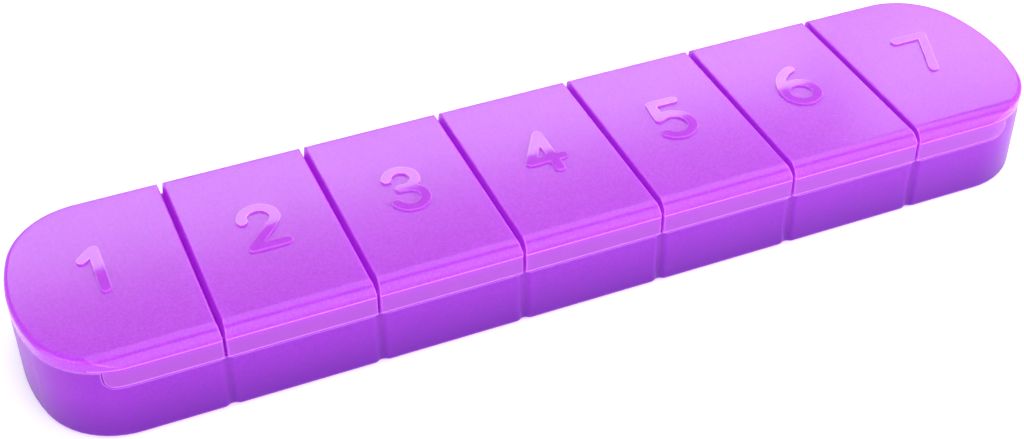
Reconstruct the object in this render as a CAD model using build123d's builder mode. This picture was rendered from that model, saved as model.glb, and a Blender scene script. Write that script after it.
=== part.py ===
from build123d import *
import math
import os

# Weekly pill organizer, in millimetres: a tray with seven compartments in a row, seven lids hinged along its
# back, and the pins that the lids turn on. X runs along the row, +Y points to the hinges and +Z is up.
# The origin is the centre of the tray's flat base.

# The row
cell_count = 7
lid_pitch = 28.0        # from one divider's middle to the next
end_extra = 4.6         # how much longer each end compartment is than the others
depth = 44.5
height = 18.6           # from the base to the lids' flat tops
corner_radius = 15.3    # plan radius where the long sides turn into the round ends
end_radius = 38.0       # plan radius of the round ends themselves

# The tray
floor_thickness = 1.4
divider = 2.2
lip_thickness = 1.05    # front wall left behind the lids' flaps
cell_corner = 2.0       # upright inner corners of a compartment
floor_round = 1.5       # inner rounding between floor and walls
base_round = 1.1        # outer rounding round the base
groove_radius = 1.25    # soft upright groove in the front wall at each divider
groove_depth = 0.5

# The lids
lid_gap = 0.5           # between the foot of one lid and the next
side_draft = 0.31       # how far a lid's sides lean in from the foot to the top
lid_edge = 2.9          # from the tray's rim to the flat top
seat_gap = 0.1          # between the rim and a closed lid
top_thickness = 1.3
border_run = 3.0        # how far the front rounding reaches back from the front
border_drop = 2.4       # how far it comes down, to a slight edge above the flap
shoulder_round = 1.0    # top edges at the back and round the ends
side_round = 0.35       # top edges beside the gaps
upright_round = 0.3     # upright corners beside the gaps
flap_height = 6.45      # from the flat top to the flap's lower edge
flap_thickness = 1.1
flap_clearance = 0.25   # behind, below and beside the flaps
flap_end_inset = 11.6   # from the end of the row to the outer end of an end lid's flap
flap_corner = 2.0       # lower outer corner of an end lid's flap
plug_depth = 2.3        # how far the plug rim reaches below the tray's rim
plug_thickness = 1.0
plug_clearance = 0.3
plug_back_clearance = 0.6
swing_margin = 0.015    # left free behind the plug as it swings out
catch_width = 12.0      # bead inside each flap, and the groove in the tray that it rests in
catch_radius = 0.4
catch_proud = 0.15
catch_lift = 0.9        # from the flap's lower edge to the middle of the bead

# The raised numerals
numeral_height = 11.0   # between the middles of the top and bottom strokes
numeral_stroke = 2.0
numeral_relief = 0.35
numeral_shift = 1.6     # from the middle of the lid towards the back

# The hinges
pin_radius = 0.6
pin_chamfer = 0.15
pin_clearance = 0.05    # running clearance in the lid's knuckle
knuckle_radius = 1.4
hinge_clearance = 0.3
lid_knuckle = 8.0       # length of the lid's knuckle
tray_knuckle = 4.5      # length of each of the tray's two knuckles
hinge_margin = 0.4      # from the inner side of an end lid to its hinge
arm_root = 1.5          # how far the lid's hinge arm reaches into the lid
web_share = 0.8         # how far the tray's hinge webs reach into the back wall, of the wall
shelf_reach_share = 0.45  # nose of the stop shelf behind the pin, of the knuckle's radius
shelf_drop_share = 2.1    # lower end of that nose below the pin, of the knuckle's radius

overrun = 1.0           # how far cuts run past what they cut
nearness = 0.01         # how close to a plane a picked edge or corner lies

# What follows from those sizes
length = cell_count * lid_pitch + 2 * end_extra
wall = flap_thickness + flap_clearance + lip_thickness
front_face = -depth / 2
rear_face = depth / 2
rim = height - lid_edge
seat = rim + seat_gap
flap_bottom = height - flap_height
flap_end = length / 2 - flap_end_inset
plug_bottom = rim - plug_depth
catch_height = flap_bottom + catch_lift
hinge_length = lid_knuckle + 2 * (tray_knuckle + hinge_clearance)
hinge_y = rear_face + knuckle_radius + hinge_clearance
hinge_z = seat - knuckle_radius - hinge_clearance
web_root = rear_face - web_share * wall
plug_back = rear_face - wall - plug_back_clearance
plug_swing = hinge_y - plug_back - math.sqrt((hinge_y - plug_back) ** 2 - (rim - hinge_z) ** 2)

# Strokes of each numeral about its middle, as shares of its height. A stroke of two points is straight, and one
# of three points is the arc through them.
numeral_shares = [
    [((-0.17, 0.30), (0.05, 0.50)), ((0.05, 0.50), (0.05, -0.50))],
    [((-0.28, 0.22), (0.00, 0.50), (0.21, 0.03)), ((0.21, 0.03), (-0.28, -0.50)),
     ((-0.28, -0.50), (0.29, -0.50))],
    [((-0.24, 0.33), (0.18, 0.43), (0.00, 0.02)), ((0.00, 0.02), (-0.08, 0.02)),
     ((0.00, 0.02), (0.23, -0.36), (-0.27, -0.33))],
    [((0.11, 0.50), (-0.31, -0.20)), ((-0.31, -0.20), (0.30, -0.20)), ((0.11, 0.50), (0.11, -0.50))],
    [((0.25, 0.50), (-0.19, 0.50)), ((-0.19, 0.50), (-0.23, 0.06)),
     ((-0.23, 0.06), (0.28, -0.18), (-0.29, -0.36))],
    [((-0.29, -0.21), (0.00, 0.08), (0.29, -0.21)), ((0.29, -0.21), (0.00, -0.50), (-0.29, -0.21)),
     ((-0.29, -0.21), (-0.18, 0.24), (0.16, 0.50))],
    [((-0.29, 0.50), (0.29, 0.50)), ((0.29, 0.50), (-0.10, -0.50))],
]


def row_outline(inset):
    """Plan of the whole row drawn in by inset: straight sides, rounded corners and gently rounded ends."""
    half_depth = depth / 2 - inset
    corner = corner_radius - inset
    end = end_radius - inset
    end_x = length / 2 - end_radius
    corner_y = depth / 2 - corner_radius
    corner_reach = math.sqrt((end_radius - corner_radius) ** 2 - corner_y ** 2)
    corner_x = end_x + corner_reach
    turn = math.degrees(math.atan2(corner_y, corner_reach))
    with BuildSketch() as outline:
        with BuildLine():
            Line((-corner_x, -half_depth), (corner_x, -half_depth))
            CenterArc((corner_x, -corner_y), corner, -90, 90 - turn)
            CenterArc((end_x, 0), end, -turn, 2 * turn)
            CenterArc((corner_x, corner_y), corner, turn, 90 - turn)
            Line((corner_x, half_depth), (-corner_x, half_depth))
            CenterArc((-corner_x, corner_y), corner, 90, 90 - turn)
            CenterArc((-end_x, 0), end, 180 - turn, 2 * turn)
            CenterArc((-corner_x, -corner_y), corner, 180 + turn, 90 - turn)
        make_face()
    return outline.sketch


def tray_outline():
    """Plan of the tray: the row with a soft groove in its front at each divider."""
    outline = row_outline(0)
    inner_half = (cell_count - 1) / 2 * lid_pitch
    with BuildSketch() as plan:
        add(outline)
        with Locations((0, front_face + groove_depth - groove_radius)):
            with GridLocations(lid_pitch, 0, cell_count - 1, 1):
                Circle(groove_radius, mode=Mode.SUBTRACT)
        brinks = plan.vertices().filter_by(
            lambda v: abs(v.Y - front_face) < nearness and abs(v.X) < inner_half)
        fillet(brinks, groove_radius)
    return plan.sketch


def span(index, margin):
    """Lower and upper X of one compartment, a margin short of its divider lines and past the row's ends."""
    low = (index - cell_count / 2) * lid_pitch + margin
    high = (index + 1 - cell_count / 2) * lid_pitch - margin
    if index == 0:
        low = -length / 2 - overrun
    if index == cell_count - 1:
        high = length / 2 + overrun
    return low, high


def cell_plan(index, inset, margin, corner=0, back=depth):
    """Plan of one compartment in the outline drawn in by inset, rounded at the dividers and cut off at back."""
    low, high = span(index, margin)
    outline = row_outline(inset)
    with BuildSketch() as plan:
        add(outline)
        with Locations(((low + high) / 2, back)):
            Rectangle(high - low, 2 * depth, align=(Align.CENTER, Align.MAX), mode=Mode.INTERSECT)
        if corner:
            sides = plan.vertices().filter_by(lambda v: min(abs(v.X - low), abs(v.X - high)) < nearness)
            fillet(sides, corner)
    return plan.sketch


def front_band(low, high, outer, inner, bottom, top, low_corner=0, high_corner=0):
    """Band of the row's front skin between two insets, its lower corners rounded as seen from the front."""
    outer_plan = row_outline(outer)
    inner_plan = row_outline(inner)
    with BuildPart() as band:
        with BuildSketch(Plane.XY.offset(bottom)):
            add(outer_plan)
            add(inner_plan, mode=Mode.SUBTRACT)
            with Locations(((low + high) / 2, front_face)):
                Rectangle(high - low, depth, mode=Mode.INTERSECT)
        extrude(amount=top - bottom)
        with BuildSketch(Plane.XZ):
            with Locations(((low + high) / 2, bottom)):
                Rectangle(high - low, top - bottom, align=(Align.CENTER, Align.MIN))
            if low_corner:
                fillet(vertices().group_by(Axis.Y)[0].sort_by(Axis.X)[0], low_corner)
            if high_corner:
                fillet(vertices().group_by(Axis.Y)[0].sort_by(Axis.X)[-1], high_corner)
        extrude(amount=depth, mode=Mode.INTERSECT)
    return band.part


def hinge_x(index):
    """Middle of a lid's hinge: the lid's own middle, but close to the divider on the two end lids."""
    low, high = span(index, lid_gap / 2)
    if index == 0:
        return high - hinge_margin - hinge_length / 2
    if index == cell_count - 1:
        return low + hinge_margin + hinge_length / 2
    return (low + high) / 2


def across(places):
    """Planes square to the row at the given places along it, with Y to the right and Z up."""
    return [Plane.YZ.offset(place) for place in places]


def hinge_arm():
    """Side view of a lid's hinge arm and knuckle, as the lid is closed."""
    shoulder = height - shoulder_round
    with BuildSketch() as arm:
        with Locations((hinge_y, hinge_z)):
            Circle(knuckle_radius)
        with Locations((rear_face, seat)):
            Rectangle(arm_root, shoulder - seat, align=(Align.MAX, Align.MIN))
        make_hull()
        with Locations((hinge_y - knuckle_radius, seat)):
            Rectangle(depth, height, align=(Align.MAX, Align.MAX), mode=Mode.SUBTRACT)
    return arm.sketch


def tray_web():
    """Side view of a tray knuckle and the web that carries it on the back wall."""
    upper = hinge_z + knuckle_radius
    lower = hinge_z - knuckle_radius
    with BuildSketch() as web:
        with Locations((hinge_y, hinge_z)):
            Circle(knuckle_radius)
        with BuildLine():
            Polyline((web_root, upper), (hinge_y, upper), (hinge_y, lower),
                     (web_root, lower - hinge_y + web_root), close=True)
        make_face()
    return web.sketch


def stop_shelf(arm):
    """Side view of the shelf on the back wall that a fully open lid's arm comes down on."""
    nose = hinge_y + shelf_reach_share * knuckle_radius
    lower = hinge_z - shelf_drop_share * knuckle_radius
    open_arm = arm.rotate(Axis((hinge_y, hinge_z, 0), (0, 0, 1)), 180)
    with BuildSketch() as arm_room:
        add(open_arm)
        offset(amount=hinge_clearance)
    with BuildSketch() as shelf:
        with BuildLine():
            Polyline((web_root, hinge_z), (nose, hinge_z), (nose, lower), (web_root, lower - nose + web_root),
                     close=True)
        make_face()
        add(arm_room.sketch, mode=Mode.SUBTRACT)
    return shelf.sketch


def make_tray(arm):
    """The tray: seven compartments, the front rebate and grooves, and the hinge knuckles and shelves behind."""
    outline = tray_outline()
    cells = [cell_plan(index, wall, divider / 2, cell_corner) for index in range(cell_count)]
    rebate_end = flap_end + flap_clearance
    rebate = front_band(-rebate_end, rebate_end, -overrun, flap_thickness + flap_clearance,
                        flap_bottom - flap_clearance, rim + overrun,
                        flap_corner + flap_clearance, flap_corner + flap_clearance)
    web = tray_web()
    shelf = stop_shelf(arm)
    hinges = [hinge_x(index) for index in range(cell_count)]
    web_planes = across([x - hinge_length / 2 for x in hinges]
                        + [x + hinge_length / 2 - tray_knuckle for x in hinges])
    lip_face = front_face + flap_thickness + flap_clearance
    with BuildPart() as tray:
        with BuildSketch():
            add(outline)
        extrude(amount=rim)
        fillet(tray.faces().sort_by(Axis.Z)[0].edges(), base_round)
        with BuildSketch(Plane.XY.offset(floor_thickness)):
            for cell in cells:
                add(cell)
        extrude(amount=height, mode=Mode.SUBTRACT)
        floors = tray.faces().filter_by(lambda f: abs(f.center().Z - floor_thickness) < nearness)
        fillet(floors.edges(), floor_round)
        add(rebate, mode=Mode.SUBTRACT)
        with BuildSketch(*across([x - catch_width / 2 - flap_clearance for x in hinges])):
            with Locations((lip_face - catch_radius + catch_proud, catch_height)):
                Circle(catch_radius)
        extrude(amount=catch_width + 2 * flap_clearance, mode=Mode.SUBTRACT)
        with BuildSketch(*web_planes):
            add(web)
        extrude(amount=tray_knuckle)
        with BuildSketch(*across([x - lid_knuckle / 2 - hinge_clearance for x in hinges])):
            add(shelf)
        extrude(amount=lid_knuckle + 2 * hinge_clearance)
        with BuildSketch(Plane.YZ):
            with Locations((hinge_y, hinge_z)):
                Circle(pin_radius)
        extrude(amount=length, both=True, mode=Mode.SUBTRACT)
    return tray.part


def block_views(low, high):
    """Plan and leaning front view of a lid's block, rounded beside the gaps and square past the row's ends."""
    with BuildSketch() as plan:
        with Locations(((low + high) / 2, 0)):
            Rectangle(high - low, depth)
        fillet(plan.vertices().filter_by(lambda v: abs(v.X) < length / 2), upright_round)
    with BuildSketch() as front:
        with BuildLine():
            Polyline((low, seat), (high, seat), (high - side_draft, height), (low + side_draft, height),
                     close=True)
        make_face()
        tops = front.vertices().group_by(Axis.Y)[-1]
        fillet(tops.filter_by(lambda v: abs(v.X) < length / 2), side_round)
    return plan.sketch, front.sketch


def make_lid(index, arm):
    """One lid: shell, flap with its catch bead, plug rim, hinge arm with its bore, and raised numeral."""
    low, high = span(index, lid_gap / 2)
    flap_low = max(low, -flap_end)
    flap_high = min(high, flap_end)
    block_plan, block_front = block_views(low, high)
    flap = front_band(flap_low, flap_high, 0, flap_thickness, flap_bottom, seat,
                      flap_corner if flap_low > low else 0, flap_corner if flap_high < high else 0)
    shell_plan = cell_plan(index, 0, lid_gap / 2)
    plug_corner = cell_corner - plug_clearance
    plug_plan = cell_plan(index, wall + plug_clearance, divider / 2 + plug_clearance, plug_corner, plug_back)
    open_plan = cell_plan(index, wall, divider / 2, cell_corner)
    pocket_plan = cell_plan(index, wall + plug_clearance + plug_thickness,
                            divider / 2 + plug_clearance + plug_thickness,
                            plug_corner - plug_thickness, plug_back - plug_thickness)
    middle = hinge_x(index)
    flap_inside = front_face + flap_thickness
    front_edge = (front_face, height - border_drop)
    flat_edge = (front_face + border_run, height)
    with BuildPart() as lid:
        with BuildSketch(Plane.XY.offset(seat)):
            add(shell_plan)
        extrude(amount=height - seat)
        end_edges = lid.edges().filter_by(GeomType.CIRCLE).filter_by(lambda e: e.center().Z > height - nearness)
        if end_edges:
            fillet(end_edges, shoulder_round)
        with BuildSketch(Plane.YZ.offset(low)):
            with BuildLine():
                Polyline(front_edge, (front_face, seat), (rear_face, seat), (rear_face, height), flat_edge)
                TangentArc(flat_edge, front_edge, tangent=(-1, 0))
            make_face()
            if not end_edges:
                fillet(vertices().group_by(Axis.Y)[-1].sort_by(Axis.X)[-1], shoulder_round)
        extrude(amount=high - low, mode=Mode.INTERSECT)
        with BuildSketch(Plane.XZ):
            add(block_front)
        extrude(amount=depth, both=True, mode=Mode.INTERSECT)
        add(flap)
        with BuildSketch(Plane.XY.offset(flap_bottom)):
            add(block_plan)
        extrude(amount=height - flap_bottom, mode=Mode.INTERSECT)
        with BuildSketch(Plane.XY.offset(plug_bottom)):
            add(plug_plan)
            # The plug moves back by its swing before it is out of the tray.
            add(open_plan.moved(Location((0, -plug_swing - swing_margin, 0))), mode=Mode.INTERSECT)
        extrude(amount=seat - plug_bottom)
        with BuildSketch(Plane.XY.offset(plug_bottom)):
            add(pocket_plan)
        extrude(amount=height - top_thickness - plug_bottom, mode=Mode.SUBTRACT)
        with BuildSketch(Plane.YZ.offset(middle - catch_width / 2)):
            with Locations((flap_inside - catch_radius + catch_proud, catch_height)):
                Circle(catch_radius)
        extrude(amount=catch_width)
        with BuildSketch(Plane.YZ.offset(middle - lid_knuckle / 2)):
            add(arm)
            with Locations((hinge_y, hinge_z)):
                Circle(pin_radius + pin_clearance, mode=Mode.SUBTRACT)
        extrude(amount=lid_knuckle)
        with BuildSketch(Plane.XY.offset(height)):
            with Locations((shell_plan.bounding_box().center().X, numeral_shift)):
                numeral(index)
        extrude(amount=numeral_relief)
    return lid.part


def numeral(index):
    """Strokes of a lid's numeral, added to the sketch that is open."""
    for stroke in numeral_shares[index]:
        points = [(x * numeral_height, y * numeral_height) for x, y in stroke]
        shape = Line if len(points) == 2 else ThreePointArc
        path = shape(*points, mode=Mode.PRIVATE)
        SlotArc(path, numeral_stroke)


def make_pin(index):
    """One hinge pin, as long as the three knuckles that it joins."""
    with BuildPart() as pin:
        with BuildSketch(Plane.YZ.offset(hinge_x(index) - hinge_length / 2)):
            with Locations((hinge_y, hinge_z)):
                Circle(pin_radius)
        extrude(amount=hinge_length)
        chamfer(pin.edges().filter_by(GeomType.CIRCLE), pin_chamfer)
    return pin.part


def save(part, name):
    """Label one piece and write it to its own file."""
    part.label = name
    export_step(part, f"parts/{name}.step")


os.makedirs("parts", exist_ok=True)
lid_arm = hinge_arm()
save(make_tray(lid_arm), "tray")
for number in range(cell_count):
    save(make_lid(number, lid_arm), f"lid_{number + 1}")
    save(make_pin(number), f"hinge_pin_{number + 1}")
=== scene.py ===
import bpy
from mathutils import Matrix, Vector

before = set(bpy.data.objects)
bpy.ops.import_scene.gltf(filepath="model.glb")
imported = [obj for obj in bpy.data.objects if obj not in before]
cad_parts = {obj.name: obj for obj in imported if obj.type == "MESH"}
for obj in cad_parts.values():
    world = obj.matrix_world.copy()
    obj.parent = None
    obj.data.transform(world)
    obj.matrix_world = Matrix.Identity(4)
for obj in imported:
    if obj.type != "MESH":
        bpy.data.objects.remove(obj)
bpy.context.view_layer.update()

# Places on the model, in metres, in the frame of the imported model.
lid_top = 0.0186                  # the lids' flat tops
numeral_relief = 0.00035
numeral_step_shares = (0.3, 0.6)  # of the relief, where the polish starts and where it is full
flap_shade_blend = (0.0148, 0.0162)     # painted shade: going down, a lid's flap takes a deeper colour where it doubles the tray wall
flap_highlight_band = (0.0120, 0.0124)      # painted highlight: a bright line along the flaps' lower edges
border_highlight_band = (0.01605, 0.01630)  # painted highlight: a bright line above the flaps
front_skin = (-0.0230, -0.0205)   # the lids' front faces, where the painted highlight line above the flaps shows
base_shade_blend = (0.0005, 0.0100)     # painted shade: going down, the tray's walls darken to a deep colour

# The camera stands where the photograph was taken from.
image_width = 1024
focal_pixels = 1696.2
sensor_width = 36
camera_place = Vector((-0.10673, -0.23516, 0.21668))
camera_right = Vector((0.919805, -0.392363, -0.003111))
camera_down = Vector((-0.252186, -0.585080, -0.770768))
camera_forward = Vector((0.300601, 0.709741, -0.637108))

# Colours are linear.
lid_dark = (0.335, 0.021, 0.54, 1)
lid_light = (0.420, 0.040, 0.63, 1)
tray_dark = (0.210, 0.008, 0.42, 1)
tray_light = (0.255, 0.014, 0.47, 1)
# Painted highlight for sharp edges and for the thin lines along the lids' flaps.
plastic_edge_highlight = (0.62, 0.200, 0.90, 1)
# Painted shade for the lids' flaps, where they double the tray wall.
plastic_double_shade = (0.31, 0.040, 0.47, 1)
# Painted shade for the tray's walls towards the base.
plastic_base_shade = (0.135, 0.004, 0.31, 1)
plastic_glow = (0.34, 0.002, 0.46, 1)
steel_dark = (0.42, 0.43, 0.45, 1)
steel_light = (0.62, 0.63, 0.65, 1)
floor_dark = (0.88, 0.88, 0.88, 1)
floor_light = (0.93, 0.93, 0.93, 1)
white = (1, 1, 1, 1)

# Ranges for remapping.
rising = (0, 1)
falling = (1, 0)
noise_middle = (0.35, 0.65)
noise_wide = (0.3, 0.7)

# Frosted plastic. Lengths are in metres, and noise scales in features a metre.
cloud_scale, cloud_detail = 90, 3
grain_scale, grain_detail = 2500, 2
grain_weight = 0.7                # of the grain against the cloud, in the colour
facing_up = (0.3, 0.8)            # upward part of the normal, from walls to floors
# Sharp edges get a painted highlight, found from how far a rounded normal turns.
edge_radius = 0.0004
edge_turn = (0.93, 0.99)          # cosine of a rounded normal's turn, from edges to open faces
edge_highlight_strength = 0.6
bevel_samples = 4
crevice_reach = 0.002
crevice_openness = (0.15, 0.6)    # from deep gaps to open faces
crevice_glow = 0.45
crevice_roughness = 0.9
occlusion_samples = 8
lid_roughness = (0.13, 0.18)
tray_roughness = (0.30, 0.40)
numeral_roughness = 0.03
bump_depth = 0.00002
bump_strength = 0.25
lid_specular = 0.5
tray_specular = 0.3
plastic_ior = 1.49
scatter_radius = (1.0, 0.3, 1.1)  # of red, green and blue, times the scale
scatter_scale = 0.0025

# Drawn steel and floor paper.
wire_stretch = (0.03, 1, 1)
wire_scale, wire_detail = 9000, 2
steel_roughness = (0.22, 0.4)
floor_size = 8
paper_scale, paper_detail = 3, 2
paper_roughness = (0.85, 0.95)
paper_specular = 0.1
paper_glow = 0.2

# Each light's place, the point it looks at, its width and height in metres, and its power in watts.
studio_lights = {
    "rear_strip": ((0.135, 0.607, 0.481), (0.135, 0.012, 0.0186), (0.71, 0.067), 0.66),
    "right_panel": ((0.645, 0.590, 0.503), (0.645, 0.012, 0.0186), (0.30, 0.123), 0.37),
    "front_panel": ((0.15, -0.82, 0.52), (0.15, 0, 0.0186), (1.6, 0.97), 9.3),
    "overhead": ((0.2, 0.166, 0.6), (0.2, 0.166, 0), (0.6, 0.64), 2.07),
    "left_low": ((-1.0, -0.25, 0.25), (0, 0, 0.01), (0.9, 0.5), 3.6),
    "right_high": ((0.90, 0.05, 0.90), (0, 0, 0), (0.9, 1.4), 1.2),
    "right_fill": ((0.32, -0.16, 0.12), (0.09, -0.01, 0.01), (0.16, 0.12), 0.28),
}
world_strength = 0.65

# The mix node has sockets of its own for each kind of data.
mix_share = 0
mix_value_inputs = (2, 3)
mix_value_output = 0
mix_colour_inputs = (6, 7)
mix_colour_output = 2


def new_material(name):
    """A material with only a shader and its output."""
    material = bpy.data.materials.new(name)
    material.use_nodes = True
    return material, material.node_tree.nodes["Principled BSDF"]


def add(material, kind, **values):
    """A node of that kind, with its settings and the values of its unlinked inputs."""
    node = material.node_tree.nodes.new(kind)
    for key, value in values.items():
        if key in node.inputs:
            node.inputs[key].default_value = value
        else:
            setattr(node, key, value)
    return node


def link(material, start, end):
    material.node_tree.links.new(start, end)


def noise(material, place, scale, detail):
    """Noise of that many features a metre."""
    node = add(material, "ShaderNodeTexNoise", Scale=scale, Detail=detail)
    link(material, place, node.inputs["Vector"])
    return node.outputs["Fac"]


def remap(material, value, old, new):
    """A value taken from the old range to the new one, and held there."""
    node = add(material, "ShaderNodeMapRange", clamp=True)
    for name, number in zip(("From Min", "From Max", "To Min", "To Max"), (*old, *new)):
        node.inputs[name].default_value = number
    link(material, value, node.inputs["Value"])
    return node.outputs["Result"]


def mix_colours(material, share, first, second):
    """Two colours mixed; each is a colour or the output of a node."""
    node = add(material, "ShaderNodeMix", data_type="RGBA")
    link(material, share, node.inputs[mix_share])
    for index, colour in zip(mix_colour_inputs, (first, second)):
        if isinstance(colour, tuple):
            node.inputs[index].default_value = colour
        else:
            link(material, colour, node.inputs[index])
    return node.outputs[mix_colour_output]


def mix_values(material, share, first, second):
    """Two numbers mixed; each, and the share, is a number or the output of a node."""
    node = add(material, "ShaderNodeMix", data_type="FLOAT")
    for index, value in zip((mix_share, *mix_value_inputs), (share, first, second)):
        if isinstance(value, (int, float)):
            node.inputs[index].default_value = value
        else:
            link(material, value, node.inputs[index])
    return node.outputs[mix_value_output]


def edge_highlight_share(material):
    """One on sharp edges and zero on open faces, from how far a rounded normal turns; it places the
    painted edge highlight.
    """
    bevel = add(material, "ShaderNodeBevel", samples=bevel_samples, Radius=edge_radius)
    geometry = add(material, "ShaderNodeNewGeometry")
    dot = add(material, "ShaderNodeVectorMath", operation="DOT_PRODUCT")
    link(material, bevel.outputs["Normal"], dot.inputs[0])
    link(material, geometry.outputs["Normal"], dot.inputs[1])
    return remap(material, dot.outputs["Value"], edge_turn, falling)


def crevice_share(material):
    """One deep in narrow gaps and zero on open faces."""
    node = add(material, "ShaderNodeAmbientOcclusion", samples=occlusion_samples, Distance=crevice_reach)
    return remap(material, node.outputs["AO"], crevice_openness, falling)


def within(material, value, limits):
    """One where a value lies between two limits, and zero elsewhere."""
    low, high = limits
    node = add(material, "ShaderNodeMath", operation="COMPARE")
    link(material, value, node.inputs[0])
    node.inputs[1].default_value = (low + high) / 2
    node.inputs[2].default_value = (high - low) / 2
    return node.outputs[0]


def largest(material, first, second):
    node = add(material, "ShaderNodeMath", operation="MAXIMUM")
    link(material, first, node.inputs[0])
    link(material, second, node.inputs[1])
    return node.outputs[0]


def frosted_plastic(name, dark, light, is_lid):
    """Frosted translucent plastic with painted edge highlights; a lid has polished numerals and a
    painted shade on its flap, which doubles the wall behind, and the tray's walls get a painted shade
    towards the base.
    """
    material, shader = new_material(name)
    place = add(material, "ShaderNodeTexCoord").outputs["Object"]
    axes = add(material, "ShaderNodeSeparateXYZ")
    link(material, place, axes.inputs["Vector"])
    height = axes.outputs["Z"]
    cloud = noise(material, place, cloud_scale, cloud_detail)
    grain = noise(material, place, grain_scale, grain_detail)
    cloud_share = remap(material, cloud, noise_middle, noise_middle)
    grain_share = remap(material, grain, noise_middle, rising)
    share = mix_values(material, grain_weight, cloud_share, grain_share)
    colour = mix_colours(material, share, dark, light)
    if is_lid:
        # Painted shade: the flap, where it doubles the tray wall, darkens to a deeper colour.
        double_shade = remap(material, height, flap_shade_blend, falling)
        colour = mix_colours(material, double_shade, colour, plastic_double_shade)
    else:
        # Painted shade: walls darken towards the bottom, and floors keep the tray's colour.
        upward = add(material, "ShaderNodeSeparateXYZ")
        geometry = add(material, "ShaderNodeNewGeometry")
        link(material, geometry.outputs["Normal"], upward.inputs["Vector"])
        floor_share = remap(material, upward.outputs["Z"], facing_up, rising)
        base_shade = mix_values(material, floor_share, remap(material, height, base_shade_blend, falling), 0)
        colour = mix_colours(material, base_shade, colour, plastic_base_shade)
    # Painted highlight: sharp edges, and on lids thin lines above and along the flaps' lower edges, are
    # lightened.
    painted_highlight = edge_highlight_share(material)
    if is_lid:
        front = within(material, axes.outputs["Y"], front_skin)
        border_highlight = mix_values(material, front, 0, within(material, height, border_highlight_band))
        painted_highlight = largest(material, painted_highlight, largest(material, border_highlight, within(material, height, flap_highlight_band)))
    painted_highlight = remap(material, painted_highlight, rising, (0, edge_highlight_strength))
    colour = mix_colours(material, painted_highlight, colour, plastic_edge_highlight)
    roughness = remap(material, grain, noise_wide, lid_roughness if is_lid else tray_roughness)
    bump = add(material, "ShaderNodeBump", Distance=bump_depth, Strength=bump_strength)
    link(material, grain, bump.inputs["Height"])
    if is_lid:
        step = tuple(lid_top + share * numeral_relief for share in numeral_step_shares)
        numeral = remap(material, height, step, rising)
        roughness = mix_values(material, numeral, roughness, numeral_roughness)
        link(material, remap(material, numeral, rising, (bump_strength, 0)), bump.inputs["Strength"])
    link(material, colour, shader.inputs["Base Color"])
    link(material, bump.outputs["Normal"], shader.inputs["Normal"])
    # A glow stands in for light that comes through the walls and keeps narrow gaps bright.
    crevice = crevice_share(material)
    glow = remap(material, crevice, rising, (0, crevice_glow))
    link(material, glow, shader.inputs["Emission Strength"])
    roughness = mix_values(material, crevice, roughness, crevice_roughness)
    link(material, roughness, shader.inputs["Roughness"])
    shader.inputs["Emission Color"].default_value = plastic_glow
    shader.inputs["Specular IOR Level"].default_value = lid_specular if is_lid else tray_specular
    shader.inputs["IOR"].default_value = plastic_ior
    shader.inputs["Subsurface Weight"].default_value = 1
    shader.inputs["Subsurface Radius"].default_value = scatter_radius
    shader.inputs["Subsurface Scale"].default_value = scatter_scale
    return material


def drawn_steel():
    """Drawn wire, with fine lines along the pin."""
    material, shader = new_material("drawn_steel")
    place = add(material, "ShaderNodeTexCoord").outputs["Object"]
    stretch = add(material, "ShaderNodeMapping", Scale=wire_stretch)
    link(material, place, stretch.inputs["Vector"])
    lines = noise(material, stretch.outputs["Vector"], wire_scale, wire_detail)
    share = remap(material, lines, noise_wide, rising)
    link(material, mix_colours(material, share, steel_dark, steel_light), shader.inputs["Base Color"])
    link(material, remap(material, lines, noise_wide, steel_roughness), shader.inputs["Roughness"])
    shader.inputs["Metallic"].default_value = 1
    return material


def floor_paper():
    """Matt white paper."""
    material, shader = new_material("floor_paper")
    place = add(material, "ShaderNodeTexCoord").outputs["Object"]
    share = noise(material, place, paper_scale, paper_detail)
    link(material, mix_colours(material, share, floor_dark, floor_light), shader.inputs["Base Color"])
    link(material, remap(material, share, noise_wide, paper_roughness), shader.inputs["Roughness"])
    shader.inputs["Specular IOR Level"].default_value = paper_specular
    shader.inputs["Emission Color"].default_value = floor_light
    shader.inputs["Emission Strength"].default_value = paper_glow
    return material


def soft_light(name, place, target, size, power):
    """An area light that looks at a point and isn't seen itself."""
    lamp = bpy.data.lights.new(name, "AREA")
    lamp.shape = "RECTANGLE"
    lamp.size, lamp.size_y = size
    lamp.energy = power
    light = bpy.data.objects.new(name, lamp)
    bpy.context.scene.collection.objects.link(light)
    light.location = place
    light.rotation_euler = (Vector(target) - Vector(place)).to_track_quat("-Z", "Y").to_euler()
    light.visible_camera = False


tray_plastic = frosted_plastic("tray_plastic", tray_dark, tray_light, False)
lid_plastic = frosted_plastic("lid_plastic", lid_dark, lid_light, True)
pin_steel = drawn_steel()
for name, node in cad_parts.items():
    if name.startswith("lid_"):
        finish = lid_plastic
    elif name.startswith("hinge_pin_"):
        finish = pin_steel
    else:
        finish = tray_plastic
    for slot in node.material_slots:
        slot.material = finish

bpy.ops.mesh.primitive_plane_add(size=floor_size)
floor = bpy.context.object
floor.name = "floor"
floor.data.materials.append(floor_paper())

for name, settings in studio_lights.items():
    soft_light(name, *settings)
world = bpy.data.worlds.new("studio")
world.use_nodes = True
background = world.node_tree.nodes["Background"]
background.inputs["Color"].default_value = white
background.inputs["Strength"].default_value = world_strength
bpy.context.scene.world = world
bpy.context.scene.view_settings.view_transform = "Standard"

camera_data = bpy.data.cameras.new("camera")
camera_data.sensor_width = sensor_width
camera_data.lens = focal_pixels * sensor_width / image_width
camera = bpy.data.objects.new("camera", camera_data)
bpy.context.scene.collection.objects.link(camera)
turn = Matrix((camera_right, -camera_down, -camera_forward)).transposed()
camera.matrix_world = Matrix.Translation(camera_place) @ turn.to_4x4()
bpy.context.scene.camera = camera
